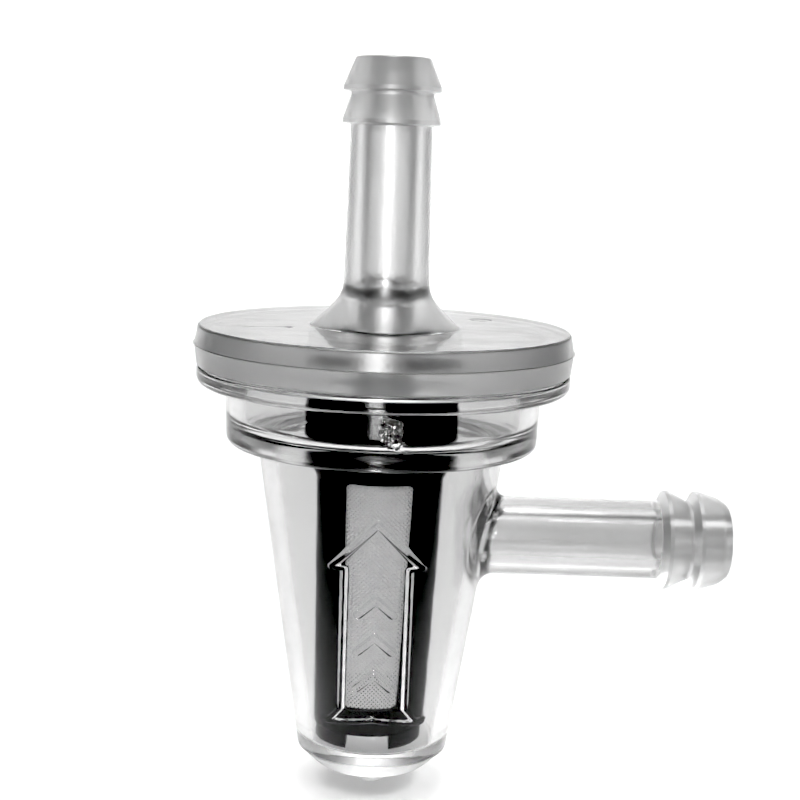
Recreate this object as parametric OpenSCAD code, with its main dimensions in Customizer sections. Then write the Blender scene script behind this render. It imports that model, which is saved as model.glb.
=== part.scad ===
// Fuel filter for small engines: a clear cap and bowl welded together round a moulded strainer.
// Fuel enters by the side barb, passes inwards through the strainer cloth and leaves by the top barb.
// Millimetres. Z = 0 is the flat ring under the bowl, +Z runs up the main axis to the outlet,
// and +X runs along the inlet barb. The flow arrow faces -Y. The moulding gate's stub hangs below Z = 0.

/* [Hose barbs] */
// Radius of the outlet barb's two ridges, which grip the hose
outlet_ridge_r = 3.63; // [3.5:0.01:3.8]
// Radius of the inlet barb's two ridges, which grip the hose
inlet_ridge_r = 3.8; // [3.6:0.01:4.0]
// Radius of both tubes just behind the barbs
tube_r = 3.02; // [2.9:0.01:3.1]
// Radius of the fuel passage through both tubes
bore_r = 1.6; // [1.4:0.05:1.8]
// Length of the flat on top of each ridge
land_l = 0.3; // [0.2:0.05:0.4]
// Distance from one ridge to the next
ridge_pitch = 2.4; // [2.3:0.05:2.6]

/* [Cap] */
// Radius of the disc at the parting line round its rim
disc_r = 14.4; // [14.0:0.1:14.8]
// Thickness of the disc
disc_t = 3.08; // [2.8:0.02:3.4]
// Height of the outlet mouth above the disc
stem_l = 19.9; // [18:0.1:24]
// Radius of the stem at its foot, before it flares into the disc
stem_foot_r = 3.26; // [3.15:0.01:3.4]
// Radius of the spigot under the disc that holds the strainer's collar
spigot_r = 4.05; // [3.8:0.05:4.2]
// Length of the spigot
spigot_l = 3.2; // [2.4:0.1:4]

/* [Bowl] */
// Height of the bowl from its base to its weld face
bowl_h = 31.3; // [30.8:0.1:32]
// Radius of the tapered cup where its wall meets the base
cup_base_r = 5.72; // [5.6:0.01:5.9]
// How much the cup's radius grows for each millimetre of height
cup_taper = 0.148; // [0.144:0.001:0.15]
// Thickness of the cup's wall
wall_t = 1.25; // [1.1:0.05:1.3]
// Thickness of the cup's floor
floor_t = 2.2; // [1.8:0.1:2.3]
// Outside radius of the neck under the weld flange
neck_r = 12.05; // [11.9:0.05:12.2]
// Inside radius of the neck
neck_bore_r = 10.5; // [10.2:0.05:10.6]
// Length of the moulding gate's stub under the base
stub_l = 1.8; // [1:0.1:2.4]
// Height of the inlet axis above the base
inlet_z = 18.45; // [17.5:0.05:18.6]
// Distance from the main axis to the inlet mouth
inlet_reach = 27.1; // [26:0.1:30]

/* [Flow arrow] */
// How far the arrow stands out of the cup
relief_h = 0.25; // [0.15:0.05:0.35]
// Width of the arrow's outline
relief_w = 0.5; // [0.4:0.02:0.6]
// Height of the arrow's tip above the base
arrow_top = 21.2; // [20.6:0.1:21.4]
// Height of the arrow's tail above the base
arrow_bottom = 5.05; // [4.8:0.05:5.6]

/* [Strainer] */
// Outside radius of the collar
collar_r = 5.84; // [5.7:0.02:5.9]
// Outside radius of the cage just under the collar
cage_top_r = 4.88; // [4.75:0.01:4.95]
// Outside radius of the cage at its foot
cage_foot_r = 4.36; // [4.3:0.01:4.4]
// Thickness of the cage's wall
rib_t = 1.0; // [0.9:0.05:1.1]
// Thickness of the filter cloth
cloth_t = 0.2; // [0.16:0.02:0.24]

/* [Weld] */
// Height of the gap left between the cap and the bowl at the rim
weld_gap = 0.12; // [0.08:0.02:0.2]

/* [Hidden] */
$fn = 96;
steps = 6;

// cap
disc_z = bowl_h + weld_gap;
disc_top = disc_z + disc_t;
stem_top = disc_top + stem_l;
parting_z = disc_z + disc_t * 0.53;
parting_lip = 0.06;
disc_top_r = disc_r - 0.27;
disc_low_r = disc_r - 0.2;
flare_r = 2;
flare_z = disc_top + 3.2;
foot_fillet = 0.6;

// barbs: a tube that ends in two ridges, each with a ramp towards the mouth and a steep back
outlet_mouth_l = 2.1;
outlet_back_l = 0.1;
inlet_mouth_l = 2.3;
inlet_back_l = 0.4;
valley_l = 0.25;

// bowl
base_edge_r = 4.45;
base_edge_h = 1.4;
stub_r = 1.25;
stub_tip_r = 1.15;
step_z = 25.58;
neck_edge = 0.5;
flange_z = 30.04;
flange_r = disc_r - 0.2;
flange_edge = 0.65;
neck_floor_z = 26.8;
neck_fillet = 1.9;
mouth_r = 8.25;
mouth_fillet = 0.5;
root_flare = 1.0;

// flow arrow
arrow_neck = 17.65;
arrow_head_w = 3.3;
arrow_shaft_w = 2.38;
arrow_tail_w = 3.35;
arrow_tail_h = 1.35;
arrow_notch = 0.48;
chevron_count = 3;
chevron_pitch = 3;
chevron_first = 8.1;
chevron_w = 1.3;
chevron_h = 1.2;
chevron_line = 0.45;

// strainer
collar_top = disc_z - 0.02;
collar_low = 24.6;
collar_foot = 23.1;
collar_bore = spigot_r + 0.03;
cage_foot_z = 3.45;
cage_edge = 0.12;
foot_z = floor_t + 0.05;
foot_r = 4.2;
foot_bore = 2.2;
foot_gap = 3.1;
window_low = 5.6;
window_top = 23.3;
window_low_w = 3.9;
window_top_w = 4.9;
cloth_low = 5.0;
cloth_top = 23.8;
cloth_inset = 0.5;

// weld bead: it fills a shallow groove in the bowl's rim and the gap above it
bead_in = 12.2;
bead_out = 13.2;
bead_depth = 0.4;

function arc(c, r, a0, a1) =
    [for (i = [0:steps]) c + r * [cos(a0 + (a1 - a0) * i / steps), sin(a0 + (a1 - a0) * i / steps)]];
function cup_r(z) = cup_base_r + cup_taper * z;
function cage_r(z) =
    cage_foot_r + (cage_top_r - cage_foot_r) * (z - cage_foot_z) / (collar_foot - cage_foot_z);

// Outline of a barb as [radius, distance along the tube], from its mouth back to its tube.
// ridge is the distance to the ridge nearest the mouth, and back_l the run down behind each ridge.
function barb_outline(ridge_r, mouth_r, end, ridge, back_l) = [
    [mouth_r - 0.12, end],
    [mouth_r, end - 0.12],
    [ridge_r, ridge],
    [ridge_r, ridge - land_l],
    [tube_r + 0.05, ridge - land_l - back_l],
    [tube_r + 0.05, ridge - land_l - back_l - valley_l],
    [ridge_r, ridge - ridge_pitch],
    [ridge_r, ridge - ridge_pitch - land_l],
    [tube_r, ridge - ridge_pitch - land_l - back_l]
];

module cap() {
    color("gainsboro", 0.5)
    rotate_extrude()
    polygon(concat(
        [[bore_r, disc_z - spigot_l], [bore_r, stem_top - 0.1], [bore_r + 0.1, stem_top]],
        barb_outline(outlet_ridge_r, 2.8, stem_top, stem_top - outlet_mouth_l, outlet_back_l),
        [[stem_foot_r, flare_z]],
        arc([stem_foot_r + flare_r, flare_z], flare_r, 180, 225),
        arc(flare_end() + foot_fillet * [1, 1] / sqrt(2), foot_fillet, 225, 270),
        [[disc_top_r - 0.15, disc_top], [disc_top_r, disc_top - 0.15]],
        [[disc_r, parting_z + parting_lip], [disc_r, parting_z - parting_lip]],
        [[disc_low_r, disc_z + 0.1], [disc_low_r - 0.1, disc_z]],
        [[spigot_r, disc_z], [spigot_r, disc_z - spigot_l + 0.3], [spigot_r - 0.3, disc_z - spigot_l]]
    ));
}

// Point where the stem's 45 degree flare meets the small fillet on the disc.
function flare_end() =
    let (start = [stem_foot_r + flare_r * (1 - cos(45)), flare_z - flare_r * sin(45)])
    let (drop = start[1] - disc_top - foot_fillet * (1 - cos(45)))
    start + [drop, -drop];

module cup_body() {
    rotate_extrude()
    polygon(concat(
        [[0, -stub_l], [stub_tip_r, -stub_l], [stub_r, 0], [base_edge_r, 0]],
        [[cup_r(base_edge_h) - 0.1, base_edge_h - 0.1], [cup_r(base_edge_h), base_edge_h]],
        [[cup_r(step_z), step_z]],
        arc([neck_r - 0.2 - neck_edge, step_z + neck_edge], neck_edge, -90, 0),
        [[neck_r, flange_z]],
        arc([flange_r - flange_edge, flange_z + flange_edge], flange_edge, -90, 0),
        [[flange_r, bowl_h - 0.1], [flange_r - 0.1, bowl_h], [0, bowl_h]]
    ));
}

module cup_cavity() {
    rotate_extrude()
    polygon(concat(
        [[0, floor_t]],
        arc([cup_r(floor_t) - wall_t - 0.5, floor_t + 0.5], 0.5, -90, 0),
        [[cup_r(step_z) - wall_t, step_z]],
        arc([mouth_r + mouth_fillet, neck_floor_z - mouth_fillet], mouth_fillet, 180, 90),
        arc([neck_bore_r - neck_fillet, neck_floor_z + neck_fillet], neck_fillet, -90, 0),
        [[neck_bore_r, bowl_h + 1], [0, bowl_h + 1]]
    ));
}

// The inlet tube with its barb, and a flare where it leaves the cup.
module inlet_tube() {
    root_x = cup_r(inlet_z) - 0.25;
    translate([0, 0, inlet_z])
    rotate([0, 90, 0])
    rotate_extrude()
    polygon(concat(
        [[0, inlet_reach]],
        barb_outline(inlet_ridge_r, tube_r, inlet_reach, inlet_reach - inlet_mouth_l, inlet_back_l),
        arc([tube_r + root_flare, root_x + root_flare], root_flare, 180, 270),
        [[tube_r + root_flare, cup_r(inlet_z) - wall_t], [0, cup_r(inlet_z) - wall_t]]
    ));
}

// A raised line through the given points, drawn flat as [across, up].
module line_2d(points, w) {
    for (i = [0:len(points) - 1]) {
        translate(points[i])
        circle(d = w, $fn = 24);
    }
    for (i = [1:len(points) - 1]) {
        run = points[i] - points[i - 1];
        translate(points[i - 1])
        rotate(atan2(run[1], run[0]))
        translate([0, -w / 2])
        square([norm(run), w]);
    }
}

module arrow_2d() {
    half = [
        [0, arrow_top],
        [arrow_head_w, arrow_neck + 0.1],
        [arrow_shaft_w, arrow_neck],
        [arrow_shaft_w, arrow_bottom + arrow_tail_h],
        [arrow_tail_w, arrow_bottom],
        [0, arrow_bottom + arrow_notch]
    ];
    for (side = [-1, 1]) {
        line_2d([for (p = half) [side * p[0], p[1]]], relief_w);
    }
    for (i = [0:chevron_count - 1]) {
        z = chevron_first + i * chevron_pitch;
        line_2d([[-chevron_w, z], [0, z + chevron_h], [chevron_w, z]], chevron_line);
    }
}

// The raised lines follow the cup's taper, relief_h proud of it.
module flow_arrow() {
    intersection() {
        rotate([90, 0, 0])
        linear_extrude(neck_r)
        arrow_2d();
        rotate_extrude()
        polygon([
            [0, 1],
            [cup_r(1) + relief_h, 1],
            [cup_r(step_z) + relief_h, step_z],
            [0, step_z]
        ]);
    }
}

module bowl() {
    color("whitesmoke", 0.5)
    difference() {
        union() {
            cup_body();
            inlet_tube();
            flow_arrow();
        }
        cup_cavity();
        translate([cup_r(inlet_z) - wall_t - 2, 0, inlet_z])
        rotate([0, 90, 0])
        cylinder(r = bore_r, h = inlet_reach);
        rotate_extrude()
        polygon(bead_outline(bowl_h + 1));
    }
}

function bead_outline(top) = [
    [bead_in, top],
    [bead_in, bowl_h - bead_depth],
    [bead_out, bowl_h - bead_depth],
    [bead_out, top]
];

module weld_bead() {
    color("silver", 0.5)
    rotate_extrude()
    polygon(bead_outline(disc_z));
}

// The filter cloth: one tapered sleeve, moulded into the middle of the cage wall.
module cloth_sleeve() {
    rotate_extrude()
    polygon([
        [cage_r(cloth_low) - cloth_inset, cloth_low],
        [cage_r(cloth_top) - cloth_inset, cloth_top],
        [cage_r(cloth_top) - cloth_inset - cloth_t, cloth_top],
        [cage_r(cloth_low) - cloth_inset - cloth_t, cloth_low]
    ]);
}

module cage_body() {
    rotate_extrude()
    polygon(concat(
        [[0, cage_foot_z], [cage_foot_r - cage_edge, cage_foot_z]],
        [[cage_foot_r, cage_foot_z + cage_edge], [cage_top_r, collar_foot]],
        [[collar_r - 0.3, collar_low - 0.3], [collar_r, collar_low], [collar_r, collar_top]],
        [[collar_bore, collar_top], [collar_bore, disc_z - spigot_l - 0.4]],
        [[cage_r(window_top) - rib_t, window_top + 1.2], [cage_r(window_low) - rib_t, window_low]],
        [[0, window_low]]
    ));
}

// Two windows: tapered openings straight through the cage, facing -Y and +Y.
module cage_windows() {
    rotate([90, 0, 0])
    translate([0, 0, -collar_r])
    linear_extrude(2 * collar_r)
    polygon([
        [-window_low_w / 2, window_low],
        [window_low_w / 2, window_low],
        [window_top_w / 2, window_top],
        [-window_top_w / 2, window_top]
    ]);
}

// Four feet: a short ring crossed by two slots.
module cage_feet() {
    difference() {
        translate([0, 0, foot_z])
        cylinder(r = foot_r, h = cage_foot_z - foot_z);
        translate([0, 0, foot_z - 1])
        cylinder(r = foot_bore, h = cage_foot_z - foot_z + 1);
        for (turn = [0, 90]) {
            rotate(turn)
            translate([-foot_gap / 2, -foot_r - 1, foot_z - 1])
            cube([foot_gap, 2 * foot_r + 2, cage_foot_z - foot_z + 1]);
        }
    }
}

module strainer_frame() {
    color("black")
    difference() {
        union() {
            cage_body();
            cage_feet();
        }
        cage_windows();
        cloth_sleeve();
    }
}

module strainer_mesh() {
    color("beige")
    cloth_sleeve();
}

cap();
bowl();
weld_bead();
strainer_frame();
strainer_mesh();
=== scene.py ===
"""Clear in-line fuel filter with a right-angle inlet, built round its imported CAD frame.

Shapes are made in millimetres in the frame's axes: Z runs up the main axis to the outlet, X along the
inlet barb, and the flow arrow faces -Y. Every mesh is scaled to metres when it is finished.
"""

import math

import bmesh
import bpy
import numpy as np
from mathutils import Matrix, Vector, noise


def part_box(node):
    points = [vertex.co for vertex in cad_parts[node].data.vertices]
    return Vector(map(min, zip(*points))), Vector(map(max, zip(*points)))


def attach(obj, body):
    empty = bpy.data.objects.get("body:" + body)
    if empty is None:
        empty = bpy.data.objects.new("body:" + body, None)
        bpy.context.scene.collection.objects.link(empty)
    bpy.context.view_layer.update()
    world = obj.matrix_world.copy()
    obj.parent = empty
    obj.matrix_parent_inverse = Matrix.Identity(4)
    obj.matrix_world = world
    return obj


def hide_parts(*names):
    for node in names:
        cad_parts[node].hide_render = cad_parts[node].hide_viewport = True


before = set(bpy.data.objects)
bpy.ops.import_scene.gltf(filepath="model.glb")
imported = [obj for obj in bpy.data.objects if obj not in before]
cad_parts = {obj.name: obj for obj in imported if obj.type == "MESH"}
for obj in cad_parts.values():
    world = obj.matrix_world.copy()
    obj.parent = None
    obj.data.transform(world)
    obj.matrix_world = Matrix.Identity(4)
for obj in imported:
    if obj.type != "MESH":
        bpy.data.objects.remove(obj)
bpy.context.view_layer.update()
MM = 0.001
TAU = 2 * math.pi
ARC_STEP = math.radians(15)


def height(node, end):
    """Lowest (end 0) or highest (end 1) point of a CAD node, in millimetres."""
    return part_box(node)[end].z / MM


# ---------------------------------------------------------------- sizes, in millimetres
# Hose barbs: the outlet's and the inlet's have the same tube, bore and ridge spacing.
BORE_R = 1.6
TUBE_R = 3.02
VALLEY_R = TUBE_R + 0.05
OUTLET_RIDGE_R = 3.63
INLET_RIDGE_R = 3.8
LAND = 0.3
RIDGE_PITCH = 2.4

# Cap: disc, flared foot, stem and the spigot that holds the strainer.
DISC_Z = height("weld_bead", 1)
DISC_TOP = DISC_Z + 3.08
DISC_R = 14.4
FOOT_R = 5.632
FOOT_RISE = 2.372
STEM_R = 3.26
STEM_TOP = height("cap", 1)
STEM_LOW = DISC_TOP + 3.1
STEM_BARB_LOW = STEM_TOP - 5.2
FLASH_Z = DISC_TOP + 3.4
SPIGOT_Z = height("cap", 0)
SPIGOT_R = 4.05

# Bowl: gate stub, cup, inlet, stepped neck and weld flange.
STUB_Z = height("bowl", 0)
FLOOR_Z = 2.2
WALL = 1.25
CONE = (1.52, 25.42)
INLET_Z = 18.45
INLET_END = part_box("bowl")[1].x / MM
INLET_TURN = 38
STEP_Z = 25.58
NECK_R = 12.05
NECK_BORE_R = 10.5
NECK_FLOOR_Z = 26.8
FLANGE_Z = 30.04
FLANGE_R = 14.2
BOWL_TOP = height("bowl", 1)
BEAD = (12.2, 13.2, 0.4)

# Marks on the bowl: the flow arrow's chevrons, and the rough gate mark on the neck.
CHEVRONS = (8.1, 11.1, 14.1)
GATE_X = 0.75
GATE_Z = 28.42
GATE_HALF = 1.08
GATE_SLOPE = 0.35

# Strainer: cage and cloth.
CAGE_FOOT_Z = height("strainer_frame", 0) + 1.2
CAGE_FLOOR_Z = 5.3
CAGE_WALL = 1
COLLAR_Z = 23.1
COLLAR_R = 5.84
COLLAR_BORE_R = 4.08
FEET_R = (2.2, 4.25)
WINDOW = ((5.6, 3.9), (23.3, 4.9))
LEAN = 0.38
WEAVE = 0.24
STRAND = (0.076, 0.056)
STRAND_LIFT = 0.062
SLEEVE_R = 4.2

# Slots of the clear plastics on the cap and on the bowl, each with its own grey of painted shade;
# slot 0 is the clearest.
CAP_RIM, CAP_FOOT, CAP_STEM, CAP_BARB, CAP_BORE = range(1, 6)
BOWL_TUBE, BOWL_BARB, BOWL_BASE, BOWL_GATE, BOWL_BAND = range(1, 6)


def cup_r(z):
    """Outer radius of the bowl's cup."""
    return 5.72 + 0.148 * z


def inner_r(z):
    """Inner radius of the bowl's cup."""
    return cup_r(z) - WALL


def cage_r(z):
    """Outer radius of the strainer cage below its collar."""
    return 4.36 + 0.52 * (z - CAGE_FOOT_Z) / (COLLAR_Z - CAGE_FOOT_Z)


def sleeve_r(z):
    """Radius of the cloth, which lies within the cage's wall."""
    return cage_r(z) - 0.6


# ---------------------------------------------------------------- mesh helpers
def unit(v):
    """Each vector of an array, made one long."""
    return v / np.maximum(np.linalg.norm(v, axis=-1, keepdims=True), 1e-12)


def outline(corners, step=0.6, closed=False):
    """Rounded line through (r, z, fillet[, step]) corners, with the solid on its left.

    Returns rows of (r, z, normal r, normal z). A corner's own step holds on the run after it.
    """
    count = len(corners)
    at = [np.array(c[:2], float) for c in corners]
    ways = [at[(i + 1) % count] - at[i] for i in range(count if closed else count - 1)]
    size = [np.linalg.norm(w) for w in ways]
    ways = [w / s for w, s in zip(ways, size)]
    arcs = []
    for i, corner in enumerate(corners):
        if not closed and i in (0, count - 1):
            way = ways[0 if i == 0 else -1]
            arcs.append([(*at[i], way[1], -way[0])])
            continue
        a, b = ways[i - 1], ways[i]
        turn = math.atan2(a[0] * b[1] - a[1] * b[0], a @ b)
        if abs(turn) < 1e-6:
            arcs.append([(*at[i], a[1], -a[0])])
            continue
        slope = math.tan(abs(turn) / 2)
        reach = min(corner[2] * slope, 0.49 * size[i - 1], 0.49 * size[i])
        radius = math.copysign(reach / slope, turn)
        centre = at[i] - a * reach + radius * np.array((-a[1], a[0]))
        arc = []
        parts = max(2, math.ceil(abs(turn) / ARC_STEP))
        for k in range(parts + 1):
            c, s = math.cos(turn * k / parts), math.sin(turn * k / parts)
            normal = np.array((c * a[1] + s * a[0], s * a[1] - c * a[0]))
            arc.append((*(centre + radius * normal), *normal))
        arcs.append(arc)
    rows = []
    for i, arc in enumerate(arcs):
        rows += arc
        if i == len(arcs) - 1 and not closed:
            break
        start, end = np.array(arc[-1][:2]), np.array(arcs[(i + 1) % count][0][:2])
        run_step = corners[i][3] if len(corners[i]) > 3 else step
        parts = math.ceil(np.linalg.norm(end - start) / run_step)
        for k in range(1, parts):
            rows.append((*(start + (end - start) * k / parts), *arc[-1][2:]))
    return np.array(rows)


def link(name, mesh):
    piece = bpy.data.objects.new(name, mesh)
    bpy.context.scene.collection.objects.link(piece)
    return piece


class Skin:
    """One closed surface: its points and normals in millimetres, and its faces."""

    def __init__(self):
        self.co, self.no, self.faces, self.mats = [], [], [], []

    def loop(self, points, normals):
        """Adds points and their normals, and returns their numbers."""
        first = len(self.co)
        self.co += [tuple(p) for p in points]
        self.no += [tuple(n) for n in unit(np.asarray(normals, float))]
        return np.arange(first, first + len(points))

    def face(self, *corners):
        self.faces.append([int(c) for c in corners])
        self.mats.append(0)

    def strip(self, a, b):
        """Faces between two closed loops with the same count of points."""
        for i in range(len(a)):
            j = (i + 1) % len(a)
            self.face(a[i], a[j], b[j], b[i])

    def merge(self, a, turn_a, b, turn_b):
        """Faces between two closed loops of different counts, paired by the angle of each point."""
        i = j = 0
        while i < len(a) or j < len(b):
            next_a = turn_a[i + 1] if i + 1 < len(a) else turn_a[0] + TAU
            next_b = turn_b[j + 1] if j + 1 < len(b) else turn_b[0] + TAU
            if j >= len(b) or (i < len(a) and next_a <= next_b):
                self.face(a[i], a[(i + 1) % len(a)], b[j % len(b)])
                i += 1
            else:
                self.face(a[i % len(a)], b[(j + 1) % len(b)], b[j])
                j += 1

    def join(self, edge, points, normals):
        """A new loop, with faces back to the loop edge, which has as many points."""
        now = self.loop(points, normals)
        self.strip(edge, now)
        return now

    def fan(self, loop, centre, normal):
        """Closes a loop with triangles to one point."""
        tip = self.loop([centre], [normal])[0]
        for i in range(len(loop)):
            self.face(loop[i], loop[(i + 1) % len(loop)], tip)

    def shift(self, grid, offset):
        """Moves a grid of points by offset along their normals, and turns the normals to match."""
        flat = grid.ravel()
        old = np.array([self.co[i] for i in flat]).reshape(*grid.shape, 3)
        normal = np.array([self.no[i] for i in flat]).reshape(*grid.shape, 3)
        new = old + normal * offset[..., None]
        turned = unit(normal + face_normals(new, normal) - face_normals(old, normal))
        for i, p, n in zip(flat, new.reshape(-1, 3), turned.reshape(-1, 3)):
            self.co[i], self.no[i] = tuple(p), tuple(n)

    def points(self, grid):
        return np.array([self.co[i] for i in grid.ravel()]).reshape(*grid.shape, 3)

    def paint(self, mat, chosen):
        """Gives a material to every face whose first corner (x, y, z, r) passes the test chosen."""
        for i, face in enumerate(self.faces):
            x, y, z = self.co[face[0]]
            if chosen(x, y, z, math.hypot(x, y)):
                self.mats[i] = mat

    def build(self, name, materials, scale=MM):
        """Makes the Blender object, with the points that its faces use."""
        used = sorted({c for face in self.faces for c in face})
        place = {old: new for new, old in enumerate(used)}
        mesh = bpy.data.meshes.new(name)
        mesh.from_pydata(
            [[x * scale for x in self.co[i]] for i in used],
            [],
            [[place[c] for c in face] for face in self.faces],
        )
        for material in materials:
            mesh.materials.append(material)
        mesh.polygons.foreach_set("material_index", self.mats)
        mesh.polygons.foreach_set("use_smooth", [True] * len(self.faces))
        work = bmesh.new()
        work.from_mesh(mesh)
        bmesh.ops.recalc_face_normals(work, faces=work.faces)
        work.to_mesh(mesh)
        work.free()
        mesh.normals_split_custom_set_from_vertices([self.no[i] for i in used])
        return link(name, mesh)


def face_normals(points, like):
    """Normals of a grid whose columns close on themselves, on the same side as like."""
    across = np.roll(points, -1, axis=1) - np.roll(points, 1, axis=1)
    along = np.gradient(points, axis=0)
    found = unit(np.cross(across, along))
    return found * np.sign((found * like).sum(-1, keepdims=True))


def lathe_grid(skin, rows, turns):
    """Points of an outline turned about Z, one row of the grid for each row of the outline."""
    c, s = np.cos(turns), np.sin(turns)
    return np.array(
        [
            skin.loop(
                np.stack((r * c, r * s, np.full_like(c, z)), 1),
                np.stack((nr * c, nr * s, np.full_like(c, nz)), 1),
            )
            for r, z, nr, nz in rows
        ]
    )


def revolve(skin, rows, turns, closed=False):
    """An outline turned about Z, with faces. Returns the grid of its points."""
    grid = lathe_grid(skin, rows, turns)
    for a, b in zip(grid, grid[1:]):
        skin.strip(a, b)
    if closed:
        skin.strip(grid[-1], grid[0])
    return grid


def even(count):
    """Angles of evenly spaced columns."""
    return np.arange(count) * TAU / count


def smooth(t):
    """A soft step: 0 below t = 0 and 1 above t = 1."""
    t = np.clip(t, 0, 1)
    return t * t * (3 - 2 * t)


def wobble(points, size, seed):
    """Smooth noise from about -1 to 1 at each point, with features of the given size."""
    shape = points.shape[:-1]
    flat = [noise.noise(Vector(p) / size + Vector((seed, 0, 0))) for p in points.reshape(-1, 3)]
    return np.array(flat).reshape(shape) * 1.8


# ---------------------------------------------------------------- materials
MICRON = 1e-6
SHADOW_TINT = (0.95, 0.95, 0.95)


def new_material(name):
    """A material, its node tree and its main shader."""
    material = bpy.data.materials.new(name)
    material.use_nodes = True
    return material, material.node_tree, material.node_tree.nodes["Principled BSDF"]


def add(tree, kind, inputs=None):
    """A new node, with each input set to its value or linked from its socket."""
    made = tree.nodes.new(kind)
    for key, value in (inputs or {}).items():
        if isinstance(value, bpy.types.NodeSocket):
            tree.links.new(value, made.inputs[key])
        else:
            made.inputs[key].default_value = value
    return made


def noise_value(tree, scale, detail):
    """Noise fixed to the piece, with scale waves to the metre."""
    at = add(tree, "ShaderNodeTexCoord").outputs["Object"]
    made = add(tree, "ShaderNodeTexNoise", {"Vector": at, "Scale": scale, "Detail": detail})
    return made.outputs["Fac"]


def remap(tree, value, low, high):
    made = add(tree, "ShaderNodeMapRange", {"Value": value, "To Min": low, "To Max": high})
    return made.outputs["Result"]


def bump(tree, value, depth, before=None):
    """A bump of the given depth in microns, over the bump before it."""
    inputs = {"Height": value, "Distance": depth * MICRON, "Strength": 1.0}
    if before is not None:
        inputs["Normal"] = before
    return add(tree, "ShaderNodeBump", inputs).outputs["Normal"]


def grey(tree, value):
    """A colour with the same value in all three channels."""
    colour = add(tree, "ShaderNodeCombineColor", {"Red": value, "Green": value, "Blue": value})
    return colour.outputs["Color"]


def clear_plastic(name, painted_shade, roughness, grain, coat=(0, 0, 0), grain_scale=5200, ripple=20):
    """Clear moulding: a slow ripple from the mould, a fine grain and a little haze.

    The grey of the base colour darkens all that is seen through the plastic: it is painted shade, set
    zone by zone. grain and ripple are depths in microns. coat is the glossy skin over a hazy inside:
    its weight, its roughness and the depth of its sparkle in microns.
    """
    material, tree, shader = new_material(name)
    # Grey base colour: painted shade over what is seen through, not a colour of the clear plastic.
    shader.inputs["Base Color"].default_value = (painted_shade, painted_shade, painted_shade, 1)
    shader.inputs["Transmission Weight"].default_value = 1.0
    shader.inputs["IOR"].default_value = 1.5
    haze = remap(tree, noise_value(tree, 420, 3), *roughness)
    tree.links.new(haze, shader.inputs["Roughness"])
    slow = bump(tree, noise_value(tree, 330, 1), ripple)
    fine = bump(tree, noise_value(tree, grain_scale, 2), grain, slow)
    tree.links.new(fine, shader.inputs["Normal"])
    weight, gloss, sparkle = coat
    shader.inputs["Coat Weight"].default_value = weight
    shader.inputs["Coat Roughness"].default_value = gloss
    shader.inputs["Coat IOR"].default_value = 1.5
    tree.links.new(bump(tree, noise_value(tree, 3400, 2), sparkle), shader.inputs["Coat Normal"])
    clear = add(tree, "ShaderNodeBsdfTransparent", {"Color": (*SHADOW_TINT, 1)})
    shadow = add(tree, "ShaderNodeLightPath").outputs["Is Shadow Ray"]
    mix = add(tree, "ShaderNodeMixShader", {"Fac": shadow})
    tree.links.new(shader.outputs["BSDF"], mix.inputs[1])
    tree.links.new(clear.outputs["BSDF"], mix.inputs[2])
    tree.links.new(mix.outputs["Shader"], tree.nodes["Material Output"].inputs["Surface"])
    return material


def black_plastic(name):
    material, tree, shader = new_material(name)
    shade = remap(tree, noise_value(tree, 900, 3), 0.002, 0.006)
    tree.links.new(grey(tree, shade), shader.inputs["Base Color"])
    tree.links.new(remap(tree, noise_value(tree, 1500, 4), 0.35, 0.5), shader.inputs["Roughness"])
    tree.links.new(bump(tree, noise_value(tree, 7000, 2), 6), shader.inputs["Normal"])
    shader.inputs["Specular IOR Level"].default_value = 0.06
    return material


def nylon_cloth(name, low, high):
    material, tree, shader = new_material(name)
    shade = remap(tree, noise_value(tree, 1400, 3), low, high)
    tree.links.new(grey(tree, shade), shader.inputs["Base Color"])
    tree.links.new(remap(tree, noise_value(tree, 3000, 2), 0.22, 0.4), shader.inputs["Roughness"])
    shader.inputs["Specular IOR Level"].default_value = 0.8
    tree.links.new(bump(tree, noise_value(tree, 16000, 2), 4), shader.inputs["Normal"])
    return material


def plain_surface(name, shade, roughness):
    material, tree, shader = new_material(name)
    tone = remap(tree, noise_value(tree, 60, 3), shade * 0.985, shade)
    tree.links.new(grey(tree, tone), shader.inputs["Base Color"])
    shader.inputs["Roughness"].default_value = roughness
    shader.inputs["Specular IOR Level"].default_value = 0.1
    return material


# ---------------------------------------------------------------- barbs
def barb(ridge_r, end, mouth, back, tip):
    """Corners of a barb from its tube to its mouth, as (radius, distance along the tube, fillet)."""
    ridge = end - mouth
    far = ridge - RIDGE_PITCH
    return [
        (TUBE_R, far - LAND - back, 0.1),
        (ridge_r, far - LAND, 0.07),
        (ridge_r, far, 0.1),
        (VALLEY_R, ridge - LAND - back - 0.25, 0.1),
        (VALLEY_R, ridge - LAND - back, 0.08),
        (ridge_r, ridge - LAND, 0.07),
        (ridge_r, ridge, 0.12),
        *tip,
        (BORE_R + 0.12, end, 0.05),
        (BORE_R, end - 0.12, 0.06),
    ]


# ---------------------------------------------------------------- cap
def paint_cap(skin):
    """The zones of the cap whose plastic is hazy, each darker or lighter by its own painted shade. A
    later zone goes over an earlier one.
    """
    in_stem = BORE_R + 0.2
    in_rim = DISC_Z + 0.03, DISC_TOP - 0.05
    skin.paint(CAP_RIM, lambda x, y, z, r: r > DISC_R - 0.5 and in_rim[0] < z < in_rim[1])
    skin.paint(CAP_FOOT, lambda x, y, z, r: in_stem < r < 6.2 and z > DISC_TOP + 0.01)
    skin.paint(CAP_STEM, lambda x, y, z, r: r > in_stem and z > STEM_LOW)
    skin.paint(CAP_BARB, lambda x, y, z, r: r > in_stem and z > STEM_BARB_LOW)
    skin.paint(CAP_BORE, lambda x, y, z, r: r < in_stem and STEM_LOW < z < STEM_BARB_LOW)


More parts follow.
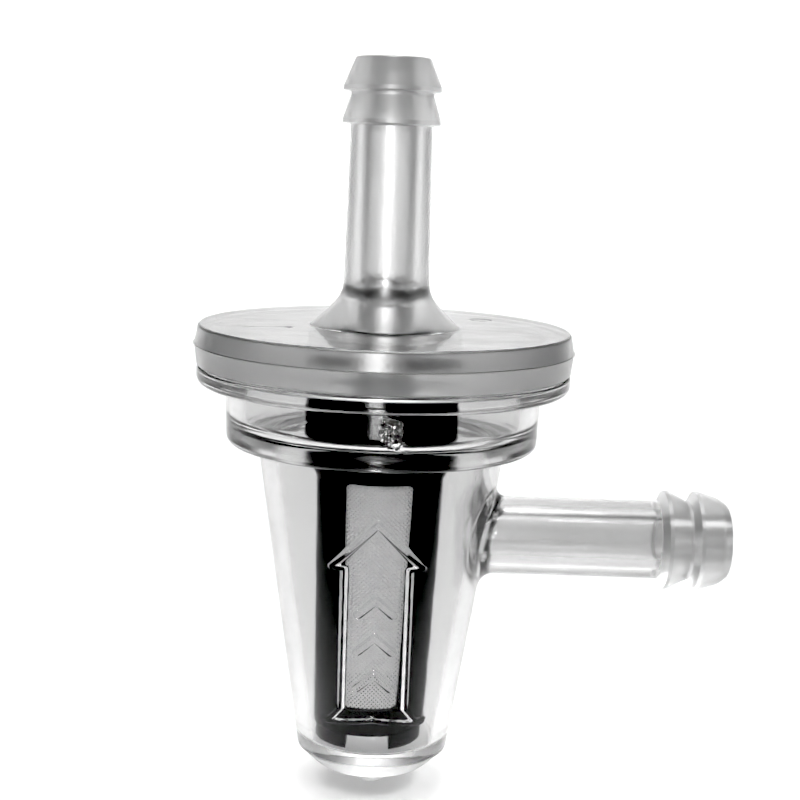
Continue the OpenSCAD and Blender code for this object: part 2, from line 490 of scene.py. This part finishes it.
def make_cap():
    """Disc, foot, stem, outlet barb and spigot in one closed outline, with its moulding marks."""
    skin = Skin()
    parting, proud, edge_r = DISC_Z + 1.63, DISC_R + 0.05, DISC_R - 0.03
    tip = [(2.8, STEM_TOP - 0.1, 0.12), (2.7, STEM_TOP, 0.06)]
    corners = [
        (BORE_R, SPIGOT_Z, 0.08),
        (SPIGOT_R - 0.3, SPIGOT_Z, 0.06),
        (SPIGOT_R, SPIGOT_Z + 0.3, 0.1),
        (SPIGOT_R, DISC_Z, 0.1),
        (DISC_R - 0.3, DISC_Z, 0.1),
        (DISC_R - 0.2, DISC_Z + 0.12, 0.1),
        (edge_r, parting - 0.07, 0.02),
        (proud, parting - 0.03, 0.015),
        (proud, parting + 0.02, 0.015),
        (edge_r, parting + 0.05, 0.02),
        (DISC_R - 0.27, DISC_TOP - 0.16, 0.16),
        (DISC_R - 0.42, DISC_TOP, 0.12, 0.17),
        (FOOT_R, DISC_TOP, 0.6),
        (STEM_R, DISC_TOP + FOOT_RISE, 2.3),
        *barb(OUTLET_RIDGE_R, STEM_TOP, 2.1, 0.1, tip),
        (BORE_R, DISC_TOP + 4.1, 0.02, 0.06),
        (BORE_R, DISC_TOP + 2.7, 0.02),
    ]
    rows = outline(corners, closed=True)
    turns = even(300)
    grid = revolve(skin, rows, turns, closed=True)
    top = grid[(abs(rows[:, 1] - DISC_TOP) < 1e-6) & (rows[:, 0] > 5.5)]
    skin.shift(top, disc_marks(skin.points(top)))
    bore = (rows[:, 0] < BORE_R + 0.01) & (abs(rows[:, 1] - FLASH_Z) < 0.75)
    skin.shift(grid[bore], bore_flash(skin.points(grid[bore])))
    paint_cap(skin)
    return skin


def off_line(x, z, start, end):
    """Distance of each (x, z) from the straight line between two points."""
    (ax, az), (bx, bz) = start, end
    run = np.array((bx - ax, bz - az))
    part = np.clip(((x - ax) * run[0] + (z - az) * run[1]) / (run @ run), 0, 1)
    return np.hypot(x - ax - run[0] * part, z - az - run[1] * part)


def groove(away):
    """Depth of a fine scratch, 1 on its line and fading out on both sides."""
    return np.exp(-((away / 0.11) ** 2))


def disc_marks(points):
    """An ejector pin's ring, the dot and scratch on the other side, and a faint unevenness."""
    x, y = points[..., 0], points[..., 1]
    off = np.hypot(x - 7.7, y - 6.1)
    ring = -0.07 * np.exp(-(((off - 0.72) / 0.13) ** 2)) - 0.02 * smooth((0.7 - off) / 0.3)
    dot = -0.12 * np.exp(-(((x + 7.1) ** 2 + (y + 2.7) ** 2) / 0.03))
    scratch = -0.03 * groove(off_line(x, y, (-10.3, -3.6), (-6.8, -2.6)))
    return ring + dot + scratch + 0.004 * wobble(points, 2.5, 3)


def bore_flash(points):
    """The wavy flash that the two core pins leave where they meet in the outlet's bore."""
    turn = np.arctan2(points[..., 1], points[..., 0])
    line = FLASH_Z + 0.16 * np.sin(3 * turn + 0.6) + 0.07 * np.sin(7 * turn)
    return 0.3 * np.exp(-(((points[..., 2] - line) / 0.14) ** 2))


# ---------------------------------------------------------------- bowl
def columns():
    """Angles of the bowl's columns, close together behind the arrow and round the inlet."""
    parts = [
        (-180, -121, 13),
        (-121, -59, 104),
        (-59, -INLET_TURN, 5),
        (-INLET_TURN, INLET_TURN, 42),
        (INLET_TURN, 180, 26),
    ]
    return np.radians(
        np.concatenate([np.linspace(a, b, n, endpoint=False) for a, b, n in parts])
    )


def spaced(*parts):
    """Heights in (low, high, step) stretches, each end shared with the next stretch."""
    found = [parts[0][0]]
    for low, high, step in parts:
        found += list(np.linspace(low, high, max(1, round((high - low) / step)) + 1)[1:])
    return np.array(found)


def cone_rows(radius, heights, side):
    """Outline rows on the cup's cone, facing out (side 1) or in (side -1)."""
    slope = radius(1) - radius(0)
    size = math.hypot(1, slope)
    return np.array([(radius(z), z, side / size, -side * slope / size) for z in heights])


def window(skin, grid, rows_in, cols_in):
    """Faces of a grid, all but a window, whose edge is returned as one loop."""
    r0, r1 = rows_in
    c0, c1 = cols_in
    count = grid.shape[1]
    for i in range(len(grid) - 1):
        for j in range(count):
            if not (r0 <= i < r1 and c0 <= j < c1):
                k = (j + 1) % count
                skin.face(grid[i, j], grid[i, k], grid[i + 1, k], grid[i + 1, j])
    sides = (grid[r0, c0:c1], grid[r0:r1, c1], grid[r1, c1:c0:-1], grid[r1:r0:-1, c0])
    return np.concatenate(sides)


def cone_point(radius, y, z):
    return np.stack((np.sqrt(radius(z) ** 2 - y**2), y, z), -1)


def close_window(skin, edge, hole_r, radius, side, rings):
    """Rings on the cone from a window's edge in to a circle round the inlet's axis.

    Returns the circle's loop and the angle of each of its points, which grow along it.
    """
    slope = radius(1) - radius(0)
    at = np.array([skin.co[i] for i in edge])
    turn = np.unwrap(np.arctan2(at[:, 2] - INLET_Z, at[:, 1]))
    if turn[-1] < turn[0]:
        edge, at, turn = edge[::-1], at[::-1], turn[::-1]
    target = np.stack((hole_r * np.cos(turn), INLET_Z + hole_r * np.sin(turn)), 1)
    for k in range(1, rings + 1):
        y, z = (at[:, 1:] + (target - at[:, 1:]) * k / rings).T
        points = cone_point(radius, y, z)
        normals = side * (unit(points * (1, 1, 0)) - np.array((0, 0, slope)))
        edge = skin.join(edge, points, normals)
    return edge, turn


def inlet_rows(skin, edge, turn, rows):
    """Loops of (radius, distance, normal, normal) rows turned about the inlet's axis."""
    c, s = np.cos(turn), np.sin(turn)
    for r, a, nr, na in rows:
        points = np.stack((np.broadcast_to(a, c.shape), r * c, INLET_Z + r * s), 1)
        normals = np.stack((np.full_like(c, na), nr * c, nr * s), 1)
        edge = skin.join(edge, points, normals)
    return edge


def root_fillet(skin, edge, turn, fillet, steps=8):
    """Rings that turn smoothly from the cup's face to the inlet tube."""
    tiny = 1e-4
    away = np.stack((np.full_like(turn, 0.5), np.cos(turn), np.sin(turn)), 1)

    def at(angle, part):
        out = TUBE_R + fillet * (1 - math.sin(part))
        point = cone_point(cup_r, out * np.cos(angle), INLET_Z + out * np.sin(angle))
        point[:, 0] += fillet * (1 - math.cos(part))
        return point

    for k in range(1, steps + 1):
        part = math.pi / 2 * k / steps
        low, high = part - tiny, min(part + tiny, math.pi / 2)
        across = at(turn + tiny, part) - at(turn - tiny, part)
        normals = np.cross(unit(across), unit(at(turn, high) - at(turn, low)))
        normals *= np.sign((normals * away).sum(1, keepdims=True))
        edge = skin.join(edge, at(turn, part), normals)
    return edge


def inlet_outside(skin, edge, turn):
    """The fillet, tube, barb and mouth round the inlet's bore."""
    straight = 11.2
    edge = root_fillet(skin, edge, turn, 1.0)
    start = np.array([skin.co[i][0] for i in edge])
    edge = inlet_rows(
        skin, edge, turn, [(TUBE_R, start + (straight - start) * t, 1, 0) for t in (0.5, 1)]
    )
    tip = [(3.32, INLET_END - 0.7, 1.2), (2.8, INLET_END, 0.35)]
    corners = [(TUBE_R, straight, 0, 1.2), *barb(INLET_RIDGE_R, INLET_END, 2.3, 0.4, tip)]
    return inlet_rows(skin, edge, turn, outline(corners[:-1], step=0.5)[1:-1])


def inlet_inside(skin, edge, turn):
    """The bore from the cup's inside to the mouth's rim."""
    around = np.cos(turn), np.sin(turn)
    lip = cone_point(inner_r, BORE_R * around[0], INLET_Z + BORE_R * around[1])
    edge = inlet_rows(skin, edge, turn, [(BORE_R + 0.035, lip[:, 0] + 0.035, -0.7, -0.7)])
    start, end = lip[:, 0] + 0.12, INLET_END - 0.4
    edge = inlet_rows(
        skin, edge, turn, [(BORE_R, start + (end - start) * k / 20, -1, 0) for k in range(21)]
    )
    rim = [(BORE_R + 0.3, INLET_END, 0), (BORE_R, INLET_END, 0.12), (BORE_R, end, 0)]
    return inlet_rows(skin, edge, turn, outline(rim)[-2:0:-1])


def arrow_relief(points):
    """Height of the moulded arrow and its three chevrons over the cup's face."""
    x, y, z = points[..., 0], points[..., 1], points[..., 2]
    half = [(0, 21.2), (3.3, 17.75), (2.38, 17.65), (2.38, 6.4), (3.35, 5.05), (0, 5.53)]
    lines = []
    widths = (0.3, 0.25, 0.25, 0.25, 0.25)
    for side in (-1, 1):
        corners = [(side * across, up) for across, up in half]
        lines += zip(corners, corners[1:], widths)
        lines += [((side * 1.3, low), (0, low + 1.2), 0.36) for low in CHEVRONS]
    raised = np.zeros_like(x)
    near = (y < 0) & (abs(x) < 4.2) & (z < 21.9) & (z > 4.4)
    for start, end, wide in lines:
        away = off_line(x[near], z[near], start, end)
        raised[near] = np.maximum(raised[near], smooth((wide + 0.02 - away) / (0.6 * wide)))
    corner = smooth((abs(x) - 2.5) / 0.9) * smooth(8 - z)
    return (0.22 - 0.1 * corner) * raised


def gate_height(x, z):
    """Height over the middle of the gate mark, which slopes down to +X."""
    return z - GATE_Z + (x - GATE_X) * GATE_SLOPE


def gate_mark(points):
    """A rough broken-off gate and a fine scratch on the front of the neck."""
    x, y, z = points[..., 0], points[..., 1], points[..., 2]
    soft = 0.25
    across, up = 0.9 - abs(x - GATE_X), GATE_HALF - abs(gate_height(x, z))
    inside = smooth(across / soft) * smooth(up / soft)
    rough = 0.12 * wobble(points, 0.25, 11) + 0.06 * wobble(points, 0.13, 12)
    bends = [(-5.7, 28.7), (-4.4, 28.95), (-3.2, 29.4), (-3.25, 28.5)]
    scratch = np.zeros_like(x)
    for start, end in zip(bends, bends[1:]):
        scratch = np.maximum(scratch, groove(off_line(x, z, start, end)))
    scratch = 0.045 * scratch * (0.6 + 0.4 * wobble(points, 0.6, 5))
    return (y < 0) * (inside * rough - scratch)


def under_rows():
    """Outline from the gate stub under the bowl out to the start of the cup's cone."""
    corners = [
        (0.5, STUB_Z, 0),
        (1.15, STUB_Z, 0.12),
        (1.25, 0, 0.12),
        (4.45, 0, 0.3),
        (cup_r(1.3) - 0.03, 1.34, 0.05),
        (cup_r(1.42), 1.46, 0.04),
        (cup_r(CONE[0]), CONE[0], 0),
    ]
    return outline(corners, step=0.8)[:-1]


def neck_rows():
    """Outline from the cone's top out over the neck, flange and weld groove, and in to the cup."""
    corners = [
        (cup_r(CONE[1]), CONE[1], 0),
        (cup_r(STEP_Z), STEP_Z, 0.12),
        (NECK_R - 0.2, STEP_Z, 0.5, 0.13),
        (NECK_R, FLANGE_Z, 0.15),
        (FLANGE_R, FLANGE_Z, 0.65),
        (FLANGE_R, BOWL_TOP, 0.12),
        (BEAD[1], BOWL_TOP, 0.05),
        (BEAD[1], BOWL_TOP - BEAD[2], 0.05),
        (BEAD[0], BOWL_TOP - BEAD[2], 0.05),
        (BEAD[0], BOWL_TOP, 0.05),
        (NECK_BORE_R, BOWL_TOP, 0.1),
        (NECK_BORE_R, NECK_FLOOR_Z, 1.9),
        (inner_r(STEP_Z), NECK_FLOOR_Z, 0.5),
        (inner_r(STEP_Z - 0.4), STEP_Z - 0.4, 0),
    ]
    return outline(corners, step=0.5)[1:-1]


def cone_heights():
    """Heights of the rows outside the cup, close together where the arrow's slopes are."""
    fine, medium, coarse = 0.08, 0.3, 0.34
    chevrons = []
    for low in (7.7, 10.7, 13.7):
        chevrons += [(low, low + 2, fine), (low + 2, low + 3, coarse)]
    return spaced(
        (CONE[0], 4.2, 0.5),
        (4.2, 6.7, fine),
        (6.7, 7.7, coarse),
        *chevrons,
        (16.7, 21.7, fine),
        (21.7, 24.4, medium),
        (24.4, CONE[1], medium),
    )


def cup_outside(skin, turns, below):
    """The cup's outer face, from the loop below it to its top, with the arrow and the inlet.

    Returns the top loop, the inlet's mouth and the mouth's angles.
    """
    heights = cone_heights()
    cone = lathe_grid(skin, cone_rows(cup_r, heights, 1), turns)
    skin.strip(below, cone[0])
    skin.shift(cone, arrow_relief(skin.points(cone)))
    rows_in = heights.searchsorted((INLET_Z - 4.5, INLET_Z + 4.6))
    cols_in = turns.searchsorted(np.radians((-INLET_TURN - 0.01, INLET_TURN - 0.01)))
    edge = window(skin, cone, rows_in, cols_in)
    edge, turn = close_window(skin, edge, TUBE_R + 1.0, cup_r, 1, 8)
    return cone[-1], inlet_outside(skin, edge, turn), turn


def cup_inside(skin, turns, above):
    """The cup's inner face, from the loop above it down to its floor, with the inlet's bore.

    Returns the bottom loop, the bore's rim and the rim's angles.
    """
    low, high = 16.1, 20.8
    heights = spaced((2.75, low, 0.7), (low, high, 0.36), (high, STEP_Z - 0.45, 0.6))[::-1]
    inner = lathe_grid(skin, cone_rows(inner_r, heights, -1), turns)
    skin.strip(above, inner[0])
    rows_in = (abs(heights - high).argmin(), abs(heights - low).argmin())
    cols_in = turns.searchsorted(np.radians((-18.2, 18.0)))
    edge = window(skin, inner, rows_in, cols_in)
    edge, turn = close_window(skin, edge, BORE_R + 0.12, inner_r, -1, 4)
    return inner[-1], inlet_inside(skin, edge, turn), turn


def paint_bowl(skin):
    """The zones of the bowl whose plastic is hazy, frosted or rough, each with its own painted shade,
    later over earlier.
    """
    tube_end = INLET_END - 5.9
    band = STEP_Z - 0.1, NECK_FLOOR_Z + 0.1

    def on_tube(x, y, z, r):
        return x > 6.5 and 1.8 < math.hypot(y, z - INLET_Z) < 4.1

    def on_gate(x, y, z, r):
        across = x - GATE_X + 0.3 * math.sin(9 * z)
        return y < -NECK_R + 0.5 and abs(across) < 0.8 and abs(gate_height(x, z)) < GATE_HALF

    skin.paint(BOWL_TUBE, on_tube)
    skin.paint(BOWL_BARB, lambda x, y, z, r: x > tube_end)
    skin.paint(BOWL_BASE, lambda x, y, z, r: z < FLOOR_Z + 0.3 and r < cup_r(z) - 0.005)
    skin.paint(BOWL_GATE, on_gate)
    skin.paint(BOWL_BAND, lambda x, y, z, r: r > NECK_R - 0.45 and band[0] < z < band[1])


def make_bowl():
    """One closed surface: under the base, up the outside, round the flange and down the inside."""
    skin = Skin()
    turns = columns()
    base = revolve(skin, under_rows(), turns)
    skin.fan(base[0], (0, 0, STUB_Z), (0, 0, -1))
    top, mouth, mouth_turn = cup_outside(skin, turns, base[-1])

    neck = neck_rows()
    collar = revolve(skin, neck, turns)
    skin.strip(top, collar[0])
    front = (neck[:, 2] > 0.9) & (abs(neck[:, 1] - 28.0) < 1.9) & (neck[:, 0] > 11.8)
    skin.shift(collar[front], gate_mark(skin.points(collar[front])))

    low, bore, bore_turn = cup_inside(skin, turns, collar[-1])
    skin.merge(mouth, mouth_turn, bore, bore_turn)
    floor = [(inner_r(2.75), 2.75, 0), (inner_r(FLOOR_Z), FLOOR_Z, 0.5), (0.5, FLOOR_Z, 0)]
    bottom = revolve(skin, outline(floor, step=1.2)[1:], turns)
    skin.strip(low, bottom[0])
    skin.fan(bottom[-1], (0, 0, FLOOR_Z), (0, 0, 1))
    paint_bowl(skin)
    return skin


# ---------------------------------------------------------------- weld bead
def make_bead():
    """The melted ring in the bowl's groove, a little uneven."""
    skin = Skin()
    gap = 0.02
    low = BOWL_TOP - BEAD[2] + gap
    corners = [
        (BEAD[0] + gap, low, 0.1),
        (BEAD[1] - gap, low, 0.1),
        (BEAD[1] - gap, DISC_Z - gap, 0.1),
        (BEAD[0] + gap, DISC_Z - gap, 0.1),
    ]
    grid = revolve(skin, outline(corners, step=0.25, closed=True), even(300), closed=True)
    skin.shift(grid, 0.012 * wobble(skin.points(grid), 0.7, 21))
    return skin


# ---------------------------------------------------------------- strainer
def window_cutter():
    """A tapered bar with rounded corners that cuts both windows, facing -Y and +Y."""
    (low, low_w), (top, top_w) = WINDOW
    round_by = 0.45
    corners = [
        (-low_w / 2, low, round_by),
        (low_w / 2, low, round_by),
        (top_w / 2, top, round_by),
        (-top_w / 2, top, round_by),
    ]
    line = outline(corners, step=20, closed=True)[:, :2]
    return extruded("cutter", line, (-8, 8), 0)


def lean(mesh):
    """Bends a finished strainer mesh a little to -X below its collar."""
    for vertex in mesh.vertices:
        below = max(0, COLLAR_Z - vertex.co.z / MM) / COLLAR_Z
        vertex.co.x -= LEAN * MM * below**1.3


def extruded(name, line, ends, turn):
    """A closed prism: a flat (x, z) outline drawn out along Y, then turned about Z."""
    work = bmesh.new()
    spin = Matrix.Rotation(turn, 4, "Z")
    loops = [[work.verts.new(spin @ Vector((x, y, z))) for x, z in line] for y in ends]
    work.faces.new(loops[0])
    work.faces.new(loops[1][::-1])
    for i in range(len(line)):
        j = (i + 1) % len(line)
        work.faces.new((loops[0][i], loops[1][i], loops[1][j], loops[0][j]))
    bmesh.ops.recalc_face_normals(work, faces=work.faces)
    mesh = bpy.data.meshes.new(name)
    work.to_mesh(mesh)
    work.free()
    return link(name, mesh)


def box_line(half, low, high):
    return [(-half, low), (half, low), (half, high), (-half, high)]


def combine(piece, cutters, operation):
    """Adds one boolean modifier to the piece for each cutter."""
    for cutter in cutters:
        step = piece.modifiers.new("cut", "BOOLEAN")
        step.operation, step.solver, step.object = operation, "EXACT", cutter


def baked(piece, name, materials, cutters):
    """The piece's mesh with its modifiers applied, turned from millimetres to metres."""
    bpy.context.view_layer.update()
    graph = bpy.context.evaluated_depsgraph_get()
    mesh = bpy.data.meshes.new_from_object(piece.evaluated_get(graph))
    mesh.name = name
    work = bmesh.new()
    work.from_mesh(mesh)
    bmesh.ops.remove_doubles(work, verts=work.verts, dist=0.004)
    bmesh.ops.dissolve_degenerate(work, edges=work.edges, dist=0.004)
    work.to_mesh(mesh)
    work.free()
    mesh.transform(Matrix.Scale(MM, 4))
    mesh.materials.clear()
    for material in materials:
        mesh.materials.append(material)
    for spare in (piece, *cutters):
        bpy.data.objects.remove(spare)
    return link(name, mesh)


def cage_body():
    """The cage's closed wall, floor and collar, before its windows are cut."""
    top, spare = height("strainer_frame", 1), 0.4
    rows = outline(
        [
            (spare, CAGE_FOOT_Z, 0),
            (cage_r(CAGE_FOOT_Z), CAGE_FOOT_Z, 0.3),
            (cage_r(COLLAR_Z), COLLAR_Z, 0.5),
            (COLLAR_R, COLLAR_Z + 1.5, 0.35),
            (COLLAR_R, top, 0.15),
            (COLLAR_BORE_R, top, 0.12),
            (COLLAR_BORE_R, SPIGOT_Z - 0.4, 0.12),
            (cage_r(23) - CAGE_WALL, 24.2, 0.6),
            (cage_r(CAGE_FLOOR_Z) - CAGE_WALL, CAGE_FLOOR_Z, 0.2),
            (spare, CAGE_FLOOR_Z, 0),
        ],
        step=2.5,
    )
    body = Skin()
    grid = revolve(body, rows, even(144))
    body.fan(grid[0], (0, 0, CAGE_FOOT_Z), (0, 0, -1))
    body.fan(grid[-1], (0, 0, CAGE_FLOOR_Z), (0, 0, 1))
    return body.build("cage_body", [], 1)


def cage_feet(foot):
    """The ring under the cage that the slots cut into four feet. It reaches into the body."""
    inner, outer = FEET_R
    top = CAGE_FOOT_Z + 0.3
    ring = [(inner, foot, 0.1), (outer, foot, 0.5), (outer, top, 0.01), (inner, top, 0.01)]
    feet = Skin()
    revolve(feet, outline(ring, step=5, closed=True), even(144), closed=True)
    return feet.build("cage_feet", [], 1)


def make_cage(name, material):
    """The black cage: body with its windows cut, and feet, with small rounded edges."""
    foot = height("strainer_frame", 0)
    piece, feet = cage_body(), cage_feet(foot)
    slot = box_line(1.55, foot - 1, CAGE_FOOT_Z + 0.2)
    slots = [extruded("slot", slot, (-6, 6), turn) for turn in (0, math.pi / 2)]
    windows = [window_cutter()]
    combine(feet, slots, "DIFFERENCE")
    combine(piece, windows, "DIFFERENCE")
    combine(piece, [feet], "UNION")
    edges = piece.modifiers.new("edges", "BEVEL")
    edges.width, edges.segments, edges.angle_limit = 0.07, 2, math.radians(35)
    edges.use_clamp_overlap = True
    made = baked(piece, name, [material], [feet, *slots, *windows])
    lean(made.data)
    made.data.polygons.foreach_set("use_smooth", [True] * len(made.data.polygons))
    made.data.set_sharp_from_angle(angle=math.radians(40))
    return made


def strand_in_window(way, index, span):
    """Flat (across, height, weave offset) points of one diagonal strand, cut to the window."""
    (low, low_w), (top, top_w) = WINDOW
    edge = 0.25
    along = np.arange(-span, span, 0.07)
    if way > 0:
        p, q = along, np.full_like(along, index * WEAVE)
    else:
        p, q = np.full_like(along, index * WEAVE), along
    u, z = (p + q) / math.sqrt(2), (p - q) / math.sqrt(2) + (low + top) / 2
    share = (z - low) / (top - low)
    half_w = (low_w + (top_w - low_w) * share) / 2
    half = np.arcsin(np.clip(half_w / sleeve_r(z), 0, 1)) * SLEEVE_R + edge
    inside = (abs(u) < half) & (z > low - edge) & (z < top + edge)
    lift = STRAND_LIFT * way * (-1) ** index * np.cos(math.pi * along / WEAVE)
    return u[inside], z[inside], lift[inside]


def make_strands(name, way, material):
    """Every strand that runs one way, in both windows."""
    co, faces = [], []
    sides, span = 5, 16.0
    most = round(span / WEAVE)
    for side in (1, 3):
        for index in range(-most, most + 1):
            u, z, lift = strand_in_window(way, index, span)
            if len(u) < 4:
                continue
            angle = u / SLEEVE_R + side * math.pi / 2
            out = np.stack((np.cos(angle), np.sin(angle), np.zeros_like(angle)), 1)
            radius = sleeve_r(z) + 0.012 * np.sin(1.7 * z + 2.1 * side) + lift
            centre = out * radius[:, None] + np.stack((0 * z, 0 * z, z), 1)
            ahead = unit(np.gradient(centre, axis=0))
            across = unit(np.cross(ahead, out))
            up = np.cross(across, ahead)
            first = len(co)
            for c, a, n in zip(centre, across, up):
                for t in even(sides):
                    co.append(c + STRAND[0] * math.cos(t) * a + STRAND[1] * math.sin(t) * n)
            for i in range(len(centre) - 1):
                for k in range(sides):
                    a, b = first + i * sides + k, first + i * sides + (k + 1) % sides
                    faces.append((a, a + sides, b + sides, b))
            last = first + (len(centre) - 1) * sides
            faces.append(tuple(first + k for k in range(sides)))
            faces.append(tuple(last + k for k in range(sides))[::-1])
    mesh = bpy.data.meshes.new(name)
    mesh.from_pydata((np.array(co) * MM).tolist(), [], faces)
    lean(mesh)
    mesh.materials.append(material)
    mesh.polygons.foreach_set("use_smooth", [True] * len(faces))
    return link(name, mesh)


# ---------------------------------------------------------------- stage
def area_light(name, at, to, size, power, spread):
    """A rectangular light, with its places and size in millimetres, in watts and degrees."""
    lamp = bpy.data.lights.new(name, "AREA")
    lamp.shape, lamp.size, lamp.size_y = "RECTANGLE", size[0] * MM, size[1] * MM
    lamp.energy, lamp.spread = power, math.radians(spread)
    made = bpy.data.objects.new(name, lamp)
    made.location = Vector(at) * MM
    made.rotation_euler = (Vector(to) - Vector(at)).to_track_quat("-Z", "Y").to_euler()
    bpy.context.scene.collection.objects.link(made)
    return made


def make_sweep():
    """A pale floor that curves up into a backdrop."""
    low, wall, top = STUB_Z - 0.02, 420, 900
    line = outline([(-900, low, 0, 60), (wall, low, 160, 30), (wall, top, 0, 60)])
    work = bmesh.new()
    rows = [
        [work.verts.new((x * MM, y * MM, z * MM)) for x in (-700, -240, 240, 700)]
        for y, z, *_ in line
    ]
    for a, b in zip(rows, rows[1:]):
        for i in range(3):
            work.faces.new((a[i], a[i + 1], b[i + 1], b[i]))
    mesh = bpy.data.meshes.new("sweep")
    work.to_mesh(mesh)
    work.free()
    mesh.polygons.foreach_set("use_smooth", [True] * len(mesh.polygons))
    mesh.materials.append(plain_surface("backdrop", 0.93, 0.9))
    sweep = link("sweep", mesh)


def make_world(strength):
    world = bpy.data.worlds.new("studio")
    world.use_nodes = True
    background = world.node_tree.nodes["Background"]
    background.inputs["Color"].default_value = (1, 1, 1, 1)
    background.inputs["Strength"].default_value = strength
    bpy.context.scene.world = world


def make_camera():
    """A camera in front and a little above, turned to +X, tipped down and rolled."""
    yaw, pitch, roll = math.radians(0.69), math.radians(9.73), math.radians(2.0)
    ahead = Vector(
        (math.sin(yaw) * math.cos(pitch), math.cos(yaw) * math.cos(pitch), -math.sin(pitch))
    )
    level = Vector((math.cos(yaw), -math.sin(yaw), 0))
    upright = level.cross(ahead)
    right = level * math.cos(roll) + upright * math.sin(roll)
    up = upright * math.cos(roll) - level * math.sin(roll)
    lens = bpy.data.cameras.new("camera")
    lens.sensor_width, lens.lens, lens.clip_start = 36, 65.52, 0.001
    camera = bpy.data.objects.new("camera", lens)
    camera.matrix_world = Matrix((right, up, -ahead)).transposed().to_4x4()
    camera.location = Vector((0, -110.1, 47.7)) * MM
    bpy.context.scene.collection.objects.link(camera)
    bpy.context.scene.camera = camera


# ---------------------------------------------------------------- assembly
def set_tones():
    """A tone curve with the strong contrast of a cut-out on white."""
    view = bpy.context.scene.view_settings
    view.view_transform = "Standard"
    view.use_curve_mapping = True
    view.curve_mapping.black_level = (0.075, 0.075, 0.075)
    view.curve_mapping.white_level = (0.92, 0.92, 0.92)
    view.curve_mapping.update()


def place(piece, slot, *nodes):
    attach(piece, "root")
    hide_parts(*nodes)


# The second number of each plastic is the grey of its base colour: painted shade, darker or lighter
# zone by zone.
cap_plastics = [
    clear_plastic("cap_clear", 0.51, (0.04, 0.1), 1.5),
    clear_plastic("cap_rim", 0.37, (0.29, 0.4), 4, (0.5, 0.2, 20)),
    clear_plastic("cap_foot", 0.76, (0.29, 0.34), 2, (0.2, 0.2, 20)),
    clear_plastic("cap_stem", 0.76, (0.29, 0.34), 4, (1, 0.24, 80), 3600),
    clear_plastic("cap_barb", 0.6, (0.36, 0.46), 4, (0.3, 0.3, 30), 3600),
    clear_plastic("cap_bore", 0.74, (0.08, 0.16), 2),
]
# Bowl plastics likewise: the second number is the grey of painted shade for that zone.
bowl_plastics = [
    clear_plastic("bowl_clear", 0.77, (0.04, 0.12), 1.5),
    clear_plastic("bowl_tube", 0.59, (0.16, 0.24), 2),
    clear_plastic("bowl_barb", 0.53, (0.29, 0.36), 2, (0.3, 0.3, 30)),
    clear_plastic("bowl_base", 0.84, (0.29, 0.36), 1),
    clear_plastic("bowl_gate", 0.8, (0.02, 0.08), 90, (1, 0.12, 120), 3300, 40),
    clear_plastic("bowl_band", 0.84, (0.16, 0.24), 2),
]
weld_plastic = clear_plastic("weld_cloudy", 0.8, (0.29, 0.4), 4)
cage_plastic = black_plastic("cage_black")
nylon = nylon_cloth("cloth_nylon", 0.43, 0.57)

place(make_cap().build("clear_cap", cap_plastics), "clear_cap", "cap")
place(make_bowl().build("clear_bowl", bowl_plastics), "clear_bowl", "bowl")
place(make_bead().build("weld_ring", [weld_plastic]), "weld", "weld_bead")
place(make_cage("black_cage", cage_plastic), "black_frame", "strainer_frame")
place(make_strands("cloth_warp", 1, nylon), "filter_cloth", "strainer_mesh")
place(make_strands("cloth_weft", -1, nylon), "filter_cloth", "strainer_mesh")

make_sweep()
make_world(0.3)
area_light("back_box", (0, 172, 160), (0, 172, 0), (600, 400), 0.52, 20)
area_light("wall_box", (0, 100, 420), (0, 420, 160), (500, 120), 0.4, 60)
area_light("flash", (-8, -112, 60), (0, 0, 30), (16, 110), 0.0145, 60)
glint = area_light("glint", (-8, -113, 60), (0, 0, 30), (22, 110), 0.008, 60)
glint.visible_diffuse = False
make_camera()
set_tones()
